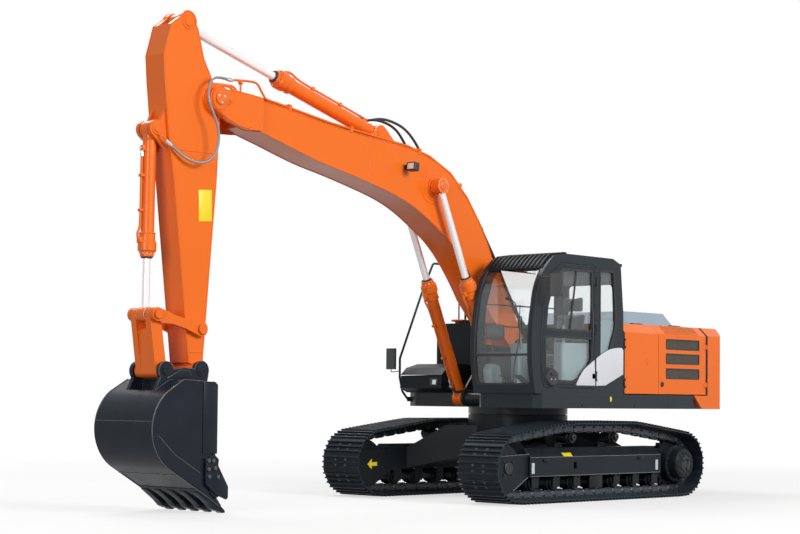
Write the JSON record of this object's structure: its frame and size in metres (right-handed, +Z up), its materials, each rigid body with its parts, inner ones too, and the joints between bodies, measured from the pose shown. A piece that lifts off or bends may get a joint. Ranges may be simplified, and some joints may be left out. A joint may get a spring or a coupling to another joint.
{
  "type": "crawler excavator",
  "caption": "Hydraulic excavator on steel tracks with a swinging house, offset cab, two-piece boom and arm, and a toothed bucket.",
  "frame": {"origin": "on the ground under the swing axis", "axes": "+X to the front along the tracks and boom, +Y to the cab side, +Z up"},
  "size_m": [9.237, 3.2493, 5.249],
  "materials": {
    "bucket_steel": "worn dark grey",
    "charcoal": "satin charcoal",
    "chrome": "polished",
    "engine": "cast",
    "glass": "clear tinted",
    "grey": "satin grey",
    "orange": "gloss orange",
    "plastic": "moulded",
    "seat": "woven",
    "track": "dark worn steel",
    "undercarriage_paint": "satin near-black"
  },
  "bodies": {
    "undercarriage": {"track_left": "track", "track_right": "track", "rollers_left": "undercarriage_paint", "rollers_right": "undercarriage_paint", "sprocket_left": "undercarriage_paint", "sprocket_right": "undercarriage_paint", "track_frame_left": "undercarriage_paint", "track_frame_right": "undercarriage_paint", "centre_frame": "undercarriage_paint", "swing_race": "charcoal"},
    "upper": {"main_frame": "charcoal", "house_panels": "charcoal", "engine": "engine", "counterweight": "orange", "hood_hinges": "charcoal", "door_hinges": "charcoal", "fuel_tank": "charcoal", "oil_tank": "charcoal", "tool_box": "charcoal", "lid_hinge_pin": "charcoal", "cab_shell": "charcoal", "cab_glazing": "glass", "cab_visor": "charcoal", "handrail": "charcoal", "mirrors": "plastic", "seat_base": "seat", "seat_cushion": "seat", "seat_back": "seat", "consoles": "plastic"},
    "hood": {"hood": "grey"},
    "left_front_door": {"left_front_door": "orange"},
    "left_rear_door": {"left_rear_door": "orange"},
    "pump_door": {"pump_door": "orange"},
    "tool_box_lid": {"tool_box_lid": "charcoal"},
    "cab_door": {"cab_door": "charcoal", "door_glass": "glass"},
    "boom": {"boom": "orange", "boom_pipes": "orange", "work_light": "charcoal"},
    "arm": {"arm": "orange"},
    "bucket": {"bucket": "bucket_steel", "bucket_teeth": "bucket_steel"},
    "side_links": {"side_links": "orange"},
    "bucket_link": {"bucket_link": "orange"},
    "boom_barrels": {"boom_cylinder_barrels": "orange"},
    "boom_rods": {"boom_cylinder_rods": "chrome"},
    "arm_barrel": {"arm_cylinder_barrel": "orange"},
    "arm_rod": {"arm_cylinder_rod": "chrome"},
    "bucket_barrel": {"bucket_cylinder_barrel": "orange"},
    "bucket_rod": {"bucket_cylinder_rod": "chrome"}
  },
  "joints": [
    {"name": "swing", "type": "hinge", "parent": "undercarriage", "child": "upper", "pos_m": [0, 0, 1.09], "axis": [0, 0, 1], "continuous": true},
    {"name": "boom_joint", "type": "hinge", "parent": "upper", "child": "boom", "pos_m": [0.225, 0, 1.845], "axis": [0, -1, 0], "range_deg": [-75, 27]},
    {"name": "arm_joint", "type": "hinge", "parent": "boom", "child": "arm", "pos_m": [5.32, 0, 4.36], "axis": [0, 1, 0], "range_deg": [-88, 28]},
    {"name": "bucket_joint", "type": "hinge", "parent": "arm", "child": "bucket", "pos_m": [5.51, 0, 1.48], "axis": [0, 1, 0], "range_deg": [-46, 129]},
    {"name": "side_link_joint", "type": "hinge", "parent": "arm", "child": "side_links", "pos_m": [5.486, 0, 1.912], "axis": [0, 1, 0], "range_deg": [-27.84, 78.06]},
    {"name": "bucket_link_joint", "type": "hinge", "parent": "side_links", "child": "bucket_link", "pos_m": [6.085, 0, 2.047], "axis": [0, 1, 0], "range_deg": [-35.48, 12.66]},
    {"name": "boom_cylinder_joint", "type": "hinge", "parent": "upper", "child": "boom_barrels", "pos_m": [0.741, 0, 1.22], "axis": [0, -1, 0], "range_deg": [-74.43, 26.8]},
    {"name": "boom_cylinder_stroke", "type": "slide", "parent": "boom_barrels", "child": "boom_rods", "axis": [0.4149, 0, 0.9099], "range_m": [-0.9525, 0.3435]},
    {"name": "arm_cylinder_joint", "type": "hinge", "parent": "boom", "child": "arm_barrel", "pos_m": [2.7, 0, 4.29], "axis": [0, 1, 0], "range_deg": [-5.39, 1.72]},
    {"name": "arm_cylinder_stroke", "type": "slide", "parent": "arm_barrel", "child": "arm_rod", "axis": [0.9618, 0, 0.2739], "range_m": [-1.1573, 0.3689]},
    {"name": "bucket_cylinder_joint", "type": "hinge", "parent": "arm", "child": "bucket_barrel", "pos_m": [6.066, 0, 3.97], "axis": [0, 1, 0], "range_deg": [-1.63, 4.55]},
    {"name": "bucket_cylinder_stroke", "type": "slide", "parent": "bucket_barrel", "child": "bucket_rod", "axis": [0.0099, 0, -1], "range_m": [-0.2613, 0.7309]},
    {"name": "cab_door_joint", "type": "hinge", "parent": "upper", "child": "cab_door", "pos_m": [0.193, 1.372, 2], "axis": [0, 0, -1], "range_deg": [-165, 0]},
    {"name": "left_front_door_joint", "type": "hinge", "parent": "upper", "child": "left_front_door", "pos_m": [-0.425, 1.352, 1.7], "axis": [0, 0, -1], "range_deg": [0, 100]},
    {"name": "left_rear_door_joint", "type": "hinge", "parent": "upper", "child": "left_rear_door", "pos_m": [-2.216, 1.352, 1.7], "axis": [0, 0, 1], "range_deg": [0, 110]},
    {"name": "pump_door_joint", "type": "hinge", "parent": "upper", "child": "pump_door", "pos_m": [-2.216, -1.352, 1.7], "axis": [0, 0, -1], "range_deg": [0, 110]},
    {"name": "hood_joint", "type": "hinge", "parent": "upper", "child": "hood", "pos_m": [-1.6, 0.876, 2.192], "axis": [-1, 0, 0], "range_deg": [0, 65]},
    {"name": "lid_joint", "type": "hinge", "parent": "upper", "child": "tool_box_lid", "pos_m": [0.096, -1, 1.648], "axis": [0, -1, 0], "range_deg": [0, 80]}
  ],
  "couplings": [
    {"joint": "side_link_joint", "follows": "bucket_joint", "ratio": 0.605},
    {"joint": "bucket_link_joint", "follows": "bucket_joint", "ratio": -0.275},
    {"joint": "boom_cylinder_joint", "follows": "boom_joint", "ratio": 0.9923},
    {"joint": "boom_cylinder_stroke", "follows": "boom_joint", "m_per_rad": 0.7269},
    {"joint": "arm_cylinder_joint", "follows": "arm_joint", "ratio": 0.0612},
    {"joint": "arm_cylinder_stroke", "follows": "arm_joint", "m_per_rad": 0.7528},
    {"joint": "bucket_cylinder_joint", "follows": "bucket_joint", "ratio": 0.0352},
    {"joint": "bucket_cylinder_stroke", "follows": "bucket_joint", "m_per_rad": 0.3242}
  ]
}
